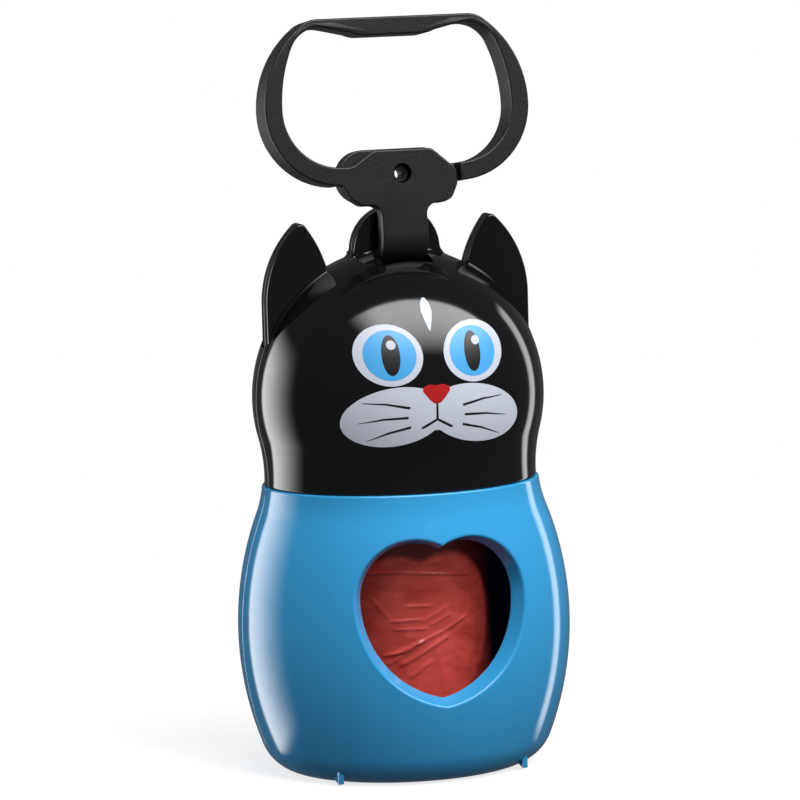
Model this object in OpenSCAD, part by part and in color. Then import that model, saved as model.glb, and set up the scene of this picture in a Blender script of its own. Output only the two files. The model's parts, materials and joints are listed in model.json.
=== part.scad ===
// Bag dispenser: a two-part case in the shape of a cat, a roll of bags and a carrying strap.
// The case stands on its base at z = 0, its front faces -Y and its parting plane is y = 0.

/* [Case body] */
// Half width of the body where it is widest
body_r = 28.7; // [27.5:0.1:31]
// Height of the widest place
body_mid_z = 24.6; // [23:0.1:27]
// Depth of the case as a share of its width
depth_ratio = 0.85; // [0.82:0.01:1]
// Radius of the hollow arc under the waist
waist_arc_r = 17.5; // [14:0.5:20]
// Radius of the corner round the base
corner_r = 7.5; // [6:0.1:9]
// Height of the joint line between body and head
seam_z = 49.3; // [47:0.1:50.4]
// Wall of the moulded shells
wall = 2; // [1.6:0.1:2.4]
// How far the body's rim stands proud of the head
rim_step = 0.4; // [0.2:0.1:0.8]

/* [Case head] */
// Half width of the head at its waist
waist_r = 23.4; // [22.8:0.1:24]
// Height of the waist
waist_z = 50.7; // [50.5:0.1:52]
// How far the dome is wider than the waist, each side
dome_bulge = 1.7; // [1:0.1:3]
// Height of the dome's centre above the waist
dome_rise = 13.1; // [11:0.1:15]
// Depth of the collar that plugs into the body
collar_h = 5; // [3:0.5:7]
// Wall of the collar
collar_wall = 1.6; // [1.2:0.1:1.8]
// Gap between the collar and the body's mouth
collar_gap = 0.35; // [0.3:0.05:0.5]
// Gap between the head's edge and the body's rim
seam_gap = 0.1; // [0.05:0.05:0.3]

/* [Ears and lug] */
// Thickness of the ears and the lug, both shells together
fin_t = 3.8; // [3:0.1:5]
// Radius of an ear's outer edge
ear_outer_r = 18.3; // [17:0.1:20]
// How far the ear's outermost point stays inside the dome's widest place
ear_inset = 1.9; // [0.5:0.1:2.5]
// Height of the ear's outermost point above the dome's centre
ear_rise = 16.4; // [15:0.1:18]
// Radius of an ear's inner edge
ear_inner_r = 22; // [20:0.5:26]
// Width of an ear at its foot
ear_w = 11.6; // [10.5:0.1:12.5]
// Rounding of an ear's tip
ear_tip_r = 0.9; // [0.5:0.1:1.5]
// Radius of the lug's top
lug_r = 7.6; // [7.2:0.1:8]
// Depth of the lug's centre below the dome's top
lug_drop = 0.4; // [0:0.1:1.5]
// Rounding where the lug runs into the dome
lug_fillet_r = 2.2; // [1:0.1:3]

/* [Heart window] */
// Radius of the heart's lobes at the inner edge
heart_lobe_r = 9.05; // [8.4:0.05:9.4]
// Distance of a lobe's centre from the middle
heart_lobe_x = 5.4; // [5:0.1:5.8]
// Height of the lobes' centres
heart_z = 32; // [31:0.1:33]
// Height of the lobes' centres above the heart's lower point
heart_h = 17.2; // [16:0.1:18]
// Width of the bevel round the window
bevel_w = 1; // [0.8:0.05:1.4]
// Depth of the bevel
bevel_d = 3; // [2.4:0.1:3.6]

/* [Bag roll] */
// Radius of the full roll
roll_r = 15.3; // [12:0.1:15.4]
// Length of the roll
roll_len = 58; // [50:1:60]
// Outer radius of the cardboard core
core_r = 6.5; // [5.8:0.1:8]
// Wall of the core
core_wall = 0.8; // [0.6:0.1:1.2]
// Gap under the roll, and between the core and the spigot
roll_gap = 0.3; // [0.2:0.1:0.6]
// Height of the spigot on the case's floor
spigot_h = 9; // [4:0.5:14]
// Wall of the spigot
spigot_wall = 1.6; // [1.2:0.1:2]

/* [Strap] */
// Depth of the strap's band, front to back
band_d = 6; // [5:0.1:7]
// Depth of the front plate
plate_d = 2.9; // [2.4:0.1:3.2]
// Gap between the plate and the tab behind it
tab_gap = 0.2; // [0.2:0.05:0.4]
// Distance of the strap's front face from the pivot bar
strap_front = 7.4; // [7:0.1:8]
// Backward lean of the strap at rest
strap_lean = 7; // [0:0.5:10]
// Radius of the arms' lower arcs, outside
arm_outer_r = 12.9; // [12:0.1:14]
// Width of the arms
arm_w = 3.1; // [2.6:0.1:3.4]
// Distance of the lower arcs' centres from the middle
arm_x = 10.3; // [9.8:0.1:11]
// Height of the lower arcs' centres above the pivot bar
arm_rise = 24.9; // [24:0.1:26]
// Height of the loop's top edge above the pivot bar
loop_rise = 40.05; // [39:0.05:42]
// Depth of the hand grip in the top bar
grip_h = 3.05; // [2.4:0.1:4]
// Thickness of the top bar beside the grip
bar_h = 1.4; // [1.2:0.1:2]
// Width of the strap's neck
neck_w = 8; // [7:0.1:9]
// Height of the clasp's hole above the middle of the loop's lower bar
clasp_shift = 0.15; // [-0.3:0.05:0.6]
// Radius of the clasp's hole
clasp_hole_r = 1.65; // [1.5:0.05:1.9]
// Radius of the hollow stud
stud_r = 1.35; // [1.2:0.05:1.4]
// Radius of the stud's bore
stud_bore_r = 1; // [0.8:0.05:1.05]
// How far the stud reaches into the plate
stud_h = 1.6; // [1:0.1:2]

/* [Strap pivot] */
// Depth of the pivot bar below the dome's top
pivot_drop = 1.6; // [1.3:0.1:2.1]
// Radius of the pivot bar
pivot_r = 1.5; // [1.3:0.05:1.6]
// Length of the pivot bar
pivot_len = 13; // [12:0.5:14]
// Running gap round the pivot bar
pivot_gap = 0.1; // [0.05:0.01:0.1]
// Gap between the neck and the sides of its slot
slot_gap = 0.4; // [0.3:0.1:0.6]
// How far the slot reaches forward of the pivot bar
slot_reach = 8; // [8:0.1:9]

/* [Hidden] */
$fn = 96;
eps = 0.01;
// Layers that join reach this far into each other, and tools this far past what they cut
overlap = 1;
// Arcs that run into each other cross by this much, so that they meet in one clean point
bite = 0.03;
body_waist_r = waist_r + rim_step;
mouth_z = seam_z + seam_gap;

// The body's side is one long arc between the round corner of the base and the waist's arc
waist_drop = body_r - body_waist_r;
waist_rise = waist_z - body_mid_z;
side_r = (pow(waist_drop, 2) + pow(waist_rise, 2)) / (2 * waist_drop) - waist_arc_r;
side_c = [body_r - side_r, body_mid_z];
corner_c = [side_c.x + sqrt(pow(side_r - corner_r, 2) - pow(body_mid_z - corner_r, 2)), corner_r];
corner_cut = corner_c + 3 * corner_r * unit(corner_c - side_c);
waist_c = [body_waist_r + waist_arc_r, waist_z];
waist_start_z = body_mid_z + side_r * unit(waist_c - side_c).y;
mouth_r = waist_c.x - sqrt(pow(waist_arc_r + wall, 2) - pow(waist_z - seam_z, 2));
collar_r = mouth_r - collar_gap;

// The head's waist arc runs into the dome
dome_r = waist_r + dome_bulge;
dome_z = waist_z + dome_rise;
dome_top_z = dome_z + dome_r;
neck_arc_r = (pow(waist_r, 2) + pow(dome_rise, 2) - pow(dome_r, 2)) / (2 * dome_bulge);
neck_c = [waist_r + neck_arc_r, waist_z];
neck_end_z = dome_z + dome_r * unit(neck_c - [0, dome_z]).y;
// Height of the inside ledge that ties the collar to the head's wall
flange_h = 2.4;

// An ear is the space that two arcs share, with a rounded tip
ear_reach = dome_r - ear_inset;
ear_foot_x = ear_reach - ear_w;
ear_z = dome_z + ear_rise;
ear_foot_drop = 0.2;
ear_outer_c = [ear_reach - ear_outer_r, ear_z];
ear_inner_c = [ear_foot_x + ear_inner_r, ear_z - ear_foot_drop];
ear_tip_c = meet(ear_outer_c, ear_outer_r - ear_tip_r, ear_inner_c, ear_inner_r - ear_tip_r);
lug_z = dome_top_z - lug_drop;
lug_fillet_c = meet([0, dome_z], dome_r + lug_fillet_r, [0, lug_z], lug_r + lug_fillet_r);

// The heart's long sides start level with the lobes' centres
heart_half_w = heart_lobe_x + heart_lobe_r;
heart_side_r = (pow(heart_half_w, 2) + pow(heart_h, 2)) / (2 * heart_half_w);
heart_side_x = heart_side_r - heart_half_w;
front_y = depth_ratio * body_r;
// Each half of the heart is turned by this angle to follow the curved wall
window_turn = 14.5;
// How far the bevel's outer edge lies behind the foremost point of the wall
window_relief = 0.45;
// The cut starts this far in front of the wall and ends this far behind the bevel
window_lead = 2;
window_reach = 4;
// Wall round the window, and how deep it may reach inside
collar_t = 1.5;
collar_reach = 8;

// Two small ribs under the front corners of the base
rib_x = 16.3;
rib_w = 1;
rib_tip_y = 14.2;
rib_len = 3;
rib_tip_z = 0.35;
rib_slope_z = 0.6;

pivot_z = dome_top_z - pivot_drop;
// Blocks inside the dome that hold the ends of the pivot bar
block_end = 1;
block_half_d = 3.2;
block_drop = 3;
block_h = 4;
// The slot's reach below the pivot bar, and above its top
slot_drop = 6;
slot_rise = 0.8;

roll_z = wall + roll_gap;
spigot_r = core_r - core_wall - roll_gap;

// The strap is drawn upright and then leans back about its pivot bar
arm_z = pivot_z + arm_rise;
loop_top_z = pivot_z + loop_rise;
clasp_z = arm_z - arm_outer_r + arm_w / 2 + clasp_shift;
plate_back = strap_front - plate_d;
tab_front = plate_back - tab_gap;
band_back = strap_front - band_d;
bend_r = 2;
bend_c = [-plate_back + bend_r, pivot_z + bend_r + plate_d / 2];
arm_inner_r = arm_outer_r - arm_w;
loop_half_w = arm_x + arm_outer_r;
side_outer_r = 17.7;
side_inner_r = 26;
top_outer_r = 5;
top_inner_r = 2.6;
inner_top_z = loop_top_z - bar_h;
side_outer_c = [loop_half_w - side_outer_r, arm_z];
side_inner_c = [loop_half_w - arm_w - side_inner_r, arm_z];
top_outer_c = inside_corner(side_outer_c, side_outer_r, loop_top_z, top_outer_r);
top_inner_c = inside_corner(side_inner_c, side_inner_r, inner_top_z, top_inner_r);
// Each arc of the loop after the first starts this many degrees on, clear of the last one's end
arc_start = 3;
// The grip hangs level for this half width and then ramps up over this width
grip_half = 5.2;
grip_ramp = 5.6;
grip_steps = 10;
// The left arm is divided at this height, the right arm thins to half its depth at the step
split_rise = 1;
split_z = arm_z + split_rise;
step_x = 10.3;
step_gap = 0.5;
tab_r = 4.5;
tab_x = 5.8;
lobe_drop = 0.2;
lobe_z = clasp_z - lobe_drop;
tab_short = 1.2;
// The plate from the clasp's hole: its level top and foot, its right side, and its root at the left arm
plate_top = 4;
plate_foot = 5.25;
plate_top_right = 5.4;
plate_top_left = 4.8;
plate_foot_right = 7;
plate_foot_left = 7.4;
plate_side = 9.7;
plate_side_top = 0.3;
plate_side_foot = 2.2;
plate_chin = 8.6;
plate_chin_foot = 4.6;
root_x = 10.8;
root_half_w = 1.45;
root_shoulder = 8.6;
root_chin = 9.1;
root_chin_foot = 4.1;
plate_r = 1.8;
plate_fillet_r = 1.8;

function unit(v) = v / norm(v);

// Upper meeting point of two circles
function meet(a, ra, b, rb) =
    let (
        d = norm(b - a),
        along = (ra * ra - rb * rb + d * d) / (2 * d),
        off = sqrt(ra * ra - along * along),
        u = unit(b - a),
        p = a + along * u + off * [-u.y, u.x],
        q = a + along * u - off * [-u.y, u.x]
    )
    abs(a.x - b.x) < eps ? (p.x > q.x ? p : q) : (p.y > q.y ? p : q);

// Centre of a circle of radius r that touches a circle from inside and a level line from below
function inside_corner(c, big_r, level, r) =
    [c.x + sqrt(pow(big_r - r, 2) - pow(level - r - c.y, 2)), level - r];

function arc(c, r, from, to, steps = 10) =
    [for (i = [0:steps]) let (a = from + (to - from) * i / steps) c + r * [cos(a), sin(a)]];

function angle_of(v) = atan2(v.y, v.x);

function flip(points) = [for (i = [len(points) - 1:-1:0]) [-points[i].x, points[i].y]];

// ---- Case outlines, drawn in the plane of radius and height, set in from the outside by inset

module body_profile(inset, foot_z) {
    difference() {
        union() {
            intersection() {
                translate(side_c) circle(side_r - inset, $fn = 360);
                translate([0, foot_z]) square([2 * body_r, waist_z - foot_z - wall]);
            }
            translate([0, waist_start_z]) square([body_r, seam_z - waist_start_z]);
        }
        translate(waist_c) circle(waist_arc_r + bite + inset, $fn = 180);
        difference() {
            polygon([corner_c, corner_cut, [corner_cut.x, -corner_r], [corner_c.x, -corner_r]]);
            translate(corner_c) circle(corner_r + bite - inset);
        }
    }
}

module head_profile(inset) {
    difference() {
        union() {
            intersection() {
                translate([0, dome_z]) circle(dome_r - inset, $fn = 180);
                translate([0, waist_z + wall]) square(2 * dome_r);
            }
            translate([0, mouth_z]) square([dome_r, neck_end_z - mouth_z]);
        }
        translate(neck_c) circle(neck_arc_r + bite + inset, $fn = 180);
    }
}

module oval() {
    scale([1, depth_ratio, 1]) rotate_extrude() children();
}

// Keeps the half of its children in front of (-1) or behind (1) the parting plane, above the ground
module half(side) {
    size = 4 * body_r;
    intersection() {
        union() children();
        translate([-size / 2, side < 0 ? -size : 0, 0]) cube(size);
    }
}

module upright(thickness) {
    rotate([90, 0, 0]) linear_extrude(thickness, center = true) children();
}

// ---- Body of the case

// One side of the heart, as cones that widen towards the front
module heart_side(y_in, y_out, extra) {
    depth = y_out - y_in;
    w_out = bevel_w * depth / bevel_d + extra;
    side_r = heart_side_r + extra;
    lobe_r = heart_lobe_r + extra;
    translate([heart_lobe_x, -y_in, heart_z]) rotate([90, 0, 0])
        cylinder(h = depth, r1 = lobe_r, r2 = heart_lobe_r + w_out);
    intersection() {
        translate([-heart_side_x, -y_in, heart_z]) rotate([90, 0, 0])
            cylinder(h = depth, r1 = side_r, r2 = heart_side_r + w_out, $fn = 180);
        translate([-body_r, -y_out, 0]) cube([3 * body_r, depth, heart_z]);
    }
}

// The whole heart: each side is turned to follow the curve of the body's front
module heart(depth, lead, extra) {
    y_in = front_y - window_relief - depth;
    y_out = front_y - window_relief + lead;
    for (side = [0, 1]) mirror([side, 0, 0]) intersection() {
        translate([0, -front_y, 0]) rotate([0, 0, window_turn]) translate([0, front_y, 0])
            heart_side(y_in, y_out, extra);
        translate([0, -2 * body_r, 0]) cube([2 * body_r, 2 * body_r, seam_z]);
    }
}

// Bevelled opening: the taper over the bevel's depth, and a straight way through the rest
module window_cut() {
    heart(bevel_d, window_lead, 0);
    heart(bevel_d + window_reach, -bevel_d + eps, 0);
}

module window_collar() {
    intersection() {
        difference() {
            oval() body_profile(eps, eps);
            oval() body_profile(bevel_d, bevel_d);
        }
        heart(collar_reach, window_lead, collar_t);
    }
}

module base_rib() {
    points = [
        [-rib_tip_y, rib_tip_z],
        [-rib_tip_y + rib_len, rib_tip_z + rib_slope_z],
        [-rib_tip_y + rib_len, corner_r / 2],
        [-rib_tip_y, corner_r / 2]
    ];
    translate([rib_x - rib_w / 2, 0, 0]) rotate([90, 0, 90]) linear_extrude(rib_w) polygon(points);
}

module body_shell(side) {
    half(side) {
        difference() {
            union() {
                oval() body_profile(0, -overlap);
                if (side < 0) {
                    base_rib();
                    mirror([1, 0, 0]) base_rib();
                }
            }
            oval() body_profile(wall, wall);
            translate([0, 0, seam_z - eps]) cylinder(h = wall, r = body_waist_r);
        }
        difference() {
            translate([0, 0, wall - eps]) cylinder(h = spigot_h, r = spigot_r);
            cylinder(h = spigot_h + 2 * wall, r = spigot_r - spigot_wall);
        }
    }
}

module body_front_shell() {
    color("#2b86c4") difference() {
        union() {
            body_shell(-1);
            window_collar();
        }
        window_cut();
    }
}

module body_rear_shell() {
    color("#2b86c4") body_shell(1);
}

// ---- Head of the case

// The arcs end where they touch the tip's circle, which takes the place of the point
module ear_outline() {
    touch_out = ear_outer_c + ear_outer_r * unit(ear_tip_c - ear_outer_c);
    touch_in = ear_inner_c + ear_inner_r * unit(ear_tip_c - ear_inner_c);
    intersection() {
        translate(ear_outer_c) circle(ear_outer_r);
        translate(ear_inner_c) circle(ear_inner_r);
        polygon([
            touch_out, touch_in, [0, touch_in.y],
            [0, ear_z], [2 * ear_reach, ear_z], [2 * ear_reach, touch_out.y]
        ]);
    }
    translate(ear_tip_c) circle(ear_tip_r + bite);
    translate([ear_foot_x, dome_z]) square([ear_reach - ear_foot_x, ear_z - dome_z]);
}

module lug_outline() {
    translate([0, lug_z]) circle(lug_r);
    difference() {
        polygon([[0, dome_z], lug_fillet_c, [0, lug_z + lug_r / 2]]);
        translate(lug_fillet_c) circle(lug_fillet_r + bite);
    }
}

module fins() {
    for (side = [0, 1]) mirror([side, 0, 0]) upright(fin_t) {
        ear_outline();
        lug_outline();
    }
}

module pivot_blocks() {
    inner = neck_w / 2 + slot_gap;
    outer = pivot_len / 2 + block_end;
    for (side = [0, 1]) mirror([side, 0, 0])
        translate([inner, -block_half_d, pivot_z - block_drop])
            cube([outer - inner, 2 * block_half_d, block_h]);
}

module head_solid() {
    difference() {
        union() {
            difference() {
                union() {
                    oval() head_profile(0);
                    fins();
                }
                oval() head_profile(wall);
            }
            pivot_blocks();
            oval() {
                translate([collar_r - collar_wall, seam_z - collar_h])
                    square([collar_wall, collar_h + flange_h]);
                translate([collar_r - collar_wall, mouth_z])
                    square([waist_r - collar_r + collar_wall - wall / 2, flange_h - seam_gap]);
            }
        }
        translate([-pivot_len / 2 - pivot_gap, 0, pivot_z]) rotate([0, 90, 0])
            cylinder(h = pivot_len + 2 * pivot_gap, r = pivot_r + pivot_gap);
        translate([-neck_w / 2 - slot_gap, -slot_reach, pivot_z - slot_drop])
            cube([neck_w + 2 * slot_gap, slot_reach + pivot_r, slot_drop + pivot_r + slot_rise]);
    }
}

module head_front_shell() {
    color("#161617") half(-1) head_solid();
}

module head_rear_shell() {
    color("#161617") half(1) head_solid();
}

// ---- Roll of bags

module tube(outer, inner, length) {
    translate([0, 0, roll_z]) difference() {
        cylinder(h = length, r = outer);
        translate([0, 0, -overlap]) cylinder(h = length + 2 * overlap, r = inner);
    }
}

module bag_roll() {
    color("#a83c32") tube(roll_r, core_r, roll_len);
}

module roll_core() {
    color("#b08a5e") tube(core_r, core_r - core_wall, roll_len);
}

// ---- Strap

module leaning() {
    translate([0, 0, pivot_z]) rotate([-strap_lean, 0, 0]) translate([0, 0, -pivot_z]) children();
}

// A flat piece of the strap that lies between two distances in front of the pivot bar
module layer(front, back) {
    translate([0, -back, 0]) rotate([90, 0, 0]) linear_extrude(front - back) children();
}

module loop_outside() {
    top_from = angle_of(top_outer_c - side_outer_c);
    right = concat(
        arc([arm_x, arm_z], arm_outer_r, -90, 0, 18),
        arc(side_outer_c, side_outer_r, arc_start, top_from, 10),
        arc(top_outer_c, top_outer_r, top_from + arc_start, 90, 8)
    );
    polygon(concat(right, flip(right)));
}

module loop_inside() {
    top_from = angle_of(top_inner_c - side_inner_c);
    grip_z = loop_top_z - grip_h;
    ramp = [
        for (i = [0:grip_steps])
            let (t = i / grip_steps, s = (1 - cos(180 * t)) / 2)
            [grip_half + grip_ramp * (1 - t), inner_top_z + (grip_z - inner_top_z) * s]
    ];
    right = concat(
        arc([arm_x, arm_z], arm_inner_r, -90, 0, 18),
        arc(side_inner_c, side_inner_r, arc_start, top_from, 8),
        arc(top_inner_c, top_inner_r, top_from + arc_start, 90, 6),
        ramp
    );
    polygon(concat(right, flip(right)));
}

module loop_band() {
    difference() {
        loop_outside();
        loop_inside();
    }
}

module plate_outline() {
    translate([0, clasp_z])
        offset(-plate_fillet_r, $fn = 48) offset(plate_fillet_r + plate_r, $fn = 48) offset(-plate_r) {
            polygon([
                [-root_x, -root_half_w], [-root_chin, -root_chin_foot], [-plate_foot_left, -plate_foot],
                [plate_foot_right, -plate_foot], [plate_chin, -plate_chin_foot],
                [plate_side, -plate_side_foot], [plate_side, plate_side_top],
                [plate_top_right, plate_top], [-plate_top_left, plate_top],
                [-root_shoulder, root_half_w], [-root_x, root_half_w]
            ]);
            translate([-neck_w / 2, bend_c.y - clasp_z]) square([neck_w, clasp_z - bend_c.y]);
        }
}

module neck_bend() {
    translate([-neck_w / 2, 0, 0]) rotate([90, 0, 90]) linear_extrude(neck_w) {
        difference() {
            translate(bend_c) circle(bend_r + plate_d);
            translate(bend_c) circle(bend_r);
            translate(bend_c) translate([0, -2 * bend_r - plate_d]) square(4 * bend_r + 2 * plate_d);
            translate(bend_c) translate([-bend_r - plate_d, 0]) square(4 * bend_r + 2 * plate_d);
        }
        translate([bend_c.x - eps, pivot_z - plate_d / 2]) square([-bend_c.x + eps, plate_d]);
    }
}

module pivot_bar() {
    translate([-pivot_len / 2, 0, pivot_z]) rotate([0, 90, 0]) cylinder(h = pivot_len, r = pivot_r);
}

module clasp_hole(r) {
    translate([0, 0, clasp_z]) rotate([90, 0, 0]) cylinder(h = 3 * band_d, r = r, center = true);
}

module strap() {
    color("#232224") leaning() {
        difference() {
            union() {
                layer(strap_front, band_back) intersection() {
                    loop_band();
                    translate([-loop_half_w - overlap, 0])
                        square([loop_half_w + overlap - step_x - step_gap, split_z]);
                }
                layer(strap_front, plate_back) intersection() {
                    loop_band();
                    translate([-step_x - overlap, 0]) square([step_x + overlap, split_z]);
                }
                layer(strap_front, plate_back) plate_outline();
                neck_bend();
                pivot_bar();
            }
            clasp_hole(clasp_hole_r);
        }
    }
}

module strap_tail() {
    color("#232224") leaning() {
        difference() {
            union() {
                layer(strap_front, band_back) difference() {
                    loop_band();
                    translate([-2 * loop_half_w, 0]) square([2 * loop_half_w, split_z]);
                    square([step_x, split_z]);
                }
                layer(tab_front, band_back) intersection() {
                    loop_band();
                    square([step_x + overlap, split_z]);
                }
                layer(tab_front, band_back) {
                    translate([-tab_x, lobe_z]) circle(tab_r, $fn = 48);
                    translate([tab_x - tab_short, lobe_z]) circle(tab_r, $fn = 48);
                    translate([-tab_x, lobe_z - tab_r]) square([2 * tab_x - tab_short, 2 * tab_r]);
                }
                layer(tab_front + tab_gap + stud_h, tab_front - overlap)
                    translate([0, clasp_z]) circle(stud_r, $fn = 48);
            }
            clasp_hole(stud_bore_r);
        }
    }
}

body_front_shell();
body_rear_shell();
head_front_shell();
head_rear_shell();
bag_roll();
roll_core();
strap();
strap_tail();
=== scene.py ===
import json
import math
import bpy
from mathutils import Matrix, Vector

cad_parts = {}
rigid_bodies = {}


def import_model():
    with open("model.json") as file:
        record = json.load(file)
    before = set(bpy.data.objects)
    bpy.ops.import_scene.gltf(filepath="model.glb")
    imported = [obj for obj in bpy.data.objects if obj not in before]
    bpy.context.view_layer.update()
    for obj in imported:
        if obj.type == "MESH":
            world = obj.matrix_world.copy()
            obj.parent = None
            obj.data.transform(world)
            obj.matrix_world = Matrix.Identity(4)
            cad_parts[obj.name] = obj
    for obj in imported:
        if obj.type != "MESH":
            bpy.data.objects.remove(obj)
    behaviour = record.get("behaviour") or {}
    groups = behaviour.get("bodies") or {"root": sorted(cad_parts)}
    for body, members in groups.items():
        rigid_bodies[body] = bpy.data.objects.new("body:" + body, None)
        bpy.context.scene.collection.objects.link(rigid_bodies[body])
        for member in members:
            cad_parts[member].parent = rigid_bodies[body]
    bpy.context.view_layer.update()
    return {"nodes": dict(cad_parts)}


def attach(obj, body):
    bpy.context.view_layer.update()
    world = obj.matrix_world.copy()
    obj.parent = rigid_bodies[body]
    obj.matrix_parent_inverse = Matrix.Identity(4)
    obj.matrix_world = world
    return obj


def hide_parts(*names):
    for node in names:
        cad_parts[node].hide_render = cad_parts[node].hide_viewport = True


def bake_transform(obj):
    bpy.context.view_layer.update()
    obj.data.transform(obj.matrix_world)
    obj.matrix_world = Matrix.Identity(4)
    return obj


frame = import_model()
nodes = frame["nodes"]
mm = 0.001


# ---- small helpers

def activate(piece):
    if bpy.context.mode != "OBJECT":
        bpy.ops.object.mode_set(mode="OBJECT")
    bpy.ops.object.select_all(action="DESELECT")
    piece.select_set(True)
    bpy.context.view_layer.objects.active = piece


def pick(piece, kind, test):
    # leaves the piece in edit mode with the vertices, edges or faces that pass the test selected
    activate(piece)
    mesh = piece.data
    groups = {"VERT": mesh.vertices, "EDGE": mesh.edges, "FACE": mesh.polygons}
    for group in groups.values():
        group.foreach_set("select", [False] * len(group))
    for part in groups[kind]:
        part.select = bool(test(part))
    bpy.context.tool_settings.mesh_select_mode = (kind == "VERT", kind == "EDGE", kind == "FACE")
    bpy.ops.object.mode_set(mode="EDIT")


def pickAll(piece):
    activate(piece)
    bpy.ops.object.mode_set(mode="EDIT")
    bpy.ops.mesh.select_all(action="SELECT")


def ends(piece, edge):
    return [piece.data.vertices[i].co / mm for i in edge.vertices]


def outwardNormals(piece):
    pickAll(piece)
    bpy.ops.mesh.normals_make_consistent(inside=False)
    activate(piece)


def mergeDoubles(piece, gap=0.001):
    pickAll(piece)
    bpy.ops.mesh.remove_doubles(threshold=gap * mm)
    activate(piece)


def smooth(piece, angle=30):
    activate(piece)
    bpy.ops.object.shade_smooth_by_angle(angle=math.radians(angle))


def join(pieces, name):
    activate(pieces[0])
    for piece in pieces[1:]:
        piece.select_set(True)
    bpy.ops.object.join()
    pieces[0].name = name
    return pieces[0]


def boolean(piece, tool, operation):
    activate(piece)
    cut = piece.modifiers.new("cut", "BOOLEAN")
    cut.operation = operation
    cut.solver = "EXACT"
    cut.object = tool
    bpy.ops.object.modifier_apply(modifier="cut")
    bpy.data.objects.remove(tool)


def ringPiece(name, points):
    # a closed ring of points (x, y, z) in mm
    bpy.ops.object.select_all(action="DESELECT")
    bpy.ops.mesh.primitive_circle_add(vertices=len(points), radius=1)
    piece = bpy.context.object
    piece.name = name
    for vertex, point in zip(piece.data.vertices, points):
        vertex.co = Vector(point) * mm
    return piece


def slab(name, outline, front, depth, rounding=0.0, backRounding=0.0, segments=3):
    # an outline (x, z) filled at y = front and drawn out backwards
    piece = ringPiece(name, [(x, front, z) for x, z in outline])
    pickAll(piece)
    bpy.ops.mesh.edge_face_add()
    bpy.ops.mesh.extrude_region_move(TRANSFORM_OT_translate={"value": (0, depth * mm, 0)})
    outwardNormals(piece)
    for level, size in ((front, rounding), (front + depth, backRounding)):
        if size > 0:
            pick(piece, "EDGE", lambda e: all(abs(p.y - level) < 1e-3 for p in ends(piece, e)))
            bpy.ops.mesh.bevel(offset=size * mm, segments=segments, profile=0.5, affect="EDGES")
            activate(piece)
    return piece


def block(name, low, high):
    bpy.ops.mesh.primitive_cube_add(size=1)
    piece = bpy.context.object
    piece.name = name
    for vertex in piece.data.vertices:
        vertex.co = Vector([(low, high)[vertex.co[i] > 0][i] for i in range(3)]) * mm
    return piece


def arc(cx, cz, r, start, stop, steps):
    turns = [math.radians(start + (stop - start) * i / steps) for i in range(steps + 1)]
    return [(cx + r * math.cos(t), cz + r * math.sin(t)) for t in turns]


def mirrored(points):
    return [(-x, z) for x, z in reversed(points)]


def clean(points, gap=0.01):
    kept = [points[0]]
    for point in points[1:]:
        if math.dist(point, kept[-1]) > gap:
            kept.append(point)
    return kept


def meeting(a, ra, b, rb):
    # the upper point where two circles cross
    d = math.dist(a, b)
    along = (ra * ra - rb * rb + d * d) / (2 * d)
    off = math.sqrt(ra * ra - along * along)
    ux, uz = (b[0] - a[0]) / d, (b[1] - a[1]) / d
    p = (a[0] + along * ux - off * uz, a[1] + along * uz + off * ux)
    q = (a[0] + along * ux + off * uz, a[1] + along * uz - off * ux)
    return p if p[1] > q[1] else q


def turnOf(centre, point):
    return math.degrees(math.atan2(point[1] - centre[1], point[0] - centre[0]))


# ---- materials

def linear(hexColor):
    parts = [int(hexColor[i:i + 2], 16) / 255 for i in (1, 3, 5)]
    return [p / 12.92 if p <= 0.04045 else ((p + 0.055) / 1.055) ** 2.4 for p in parts] + [1]


def newMaterial(name):
    material = bpy.data.materials.new(name)
    material.use_nodes = True
    tree = material.node_tree
    tree.nodes.clear()
    return material, tree


def addNode(tree, kind, settings=None, links=None):
    made = tree.nodes.new(kind)
    for key, value in (settings or {}).items():
        if isinstance(key, str) and hasattr(made, key):
            setattr(made, key, value)
        else:
            made.inputs[key].default_value = value
    for key, source in (links or {}).items():
        tree.links.new(source, made.inputs[key])
    return made


def finishMaterial(tree, shader):
    output = addNode(tree, "ShaderNodeOutputMaterial")
    tree.links.new(shader.outputs[0], output.inputs["Surface"])


def plastic(name, color, roughness, ripple, rippleSize, ior=1.53, grain=0.0):
    # injection-moulded plastic: an even colour, a surface that is very slightly wavy, and a fine grain if satin
    material, tree = newMaterial(name)
    place = addNode(tree, "ShaderNodeTexCoord")
    waves = addNode(tree, "ShaderNodeTexNoise", {"Scale": 1 / (rippleSize * mm), "Detail": 2.0},
                    {"Vector": place.outputs["Object"]})
    bump = addNode(tree, "ShaderNodeBump", {"Strength": 1.0, "Distance": ripple * mm},
                   {"Height": waves.outputs["Fac"]})
    if grain > 0:
        dots = addNode(tree, "ShaderNodeTexNoise", {"Scale": 1 / (0.5 * mm), "Detail": 3.0},
                       {"Vector": place.outputs["Object"]})
        bump = addNode(tree, "ShaderNodeBump", {"Strength": 1.0, "Distance": grain * mm},
                       {"Height": dots.outputs["Fac"], "Normal": bump.outputs["Normal"]})
    shader = addNode(tree, "ShaderNodeBsdfPrincipled",
                     {"Base Color": linear(color), "Roughness": roughness, "IOR": ior},
                     {"Normal": bump.outputs["Normal"]})
    finishMaterial(tree, shader)
    return material


def dress(piece, material):
    piece.data.materials.clear()
    piece.data.materials.append(material)


# glossy blue ABS of the body
bluePlastic = plastic("blue glossy ABS", "#318FC3", 0.10, 0.01, 6)
# glossy black ABS of the head
blackPlastic = plastic("black glossy ABS", "#0B0B0C", 0.08, 0.008, 6)
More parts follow.
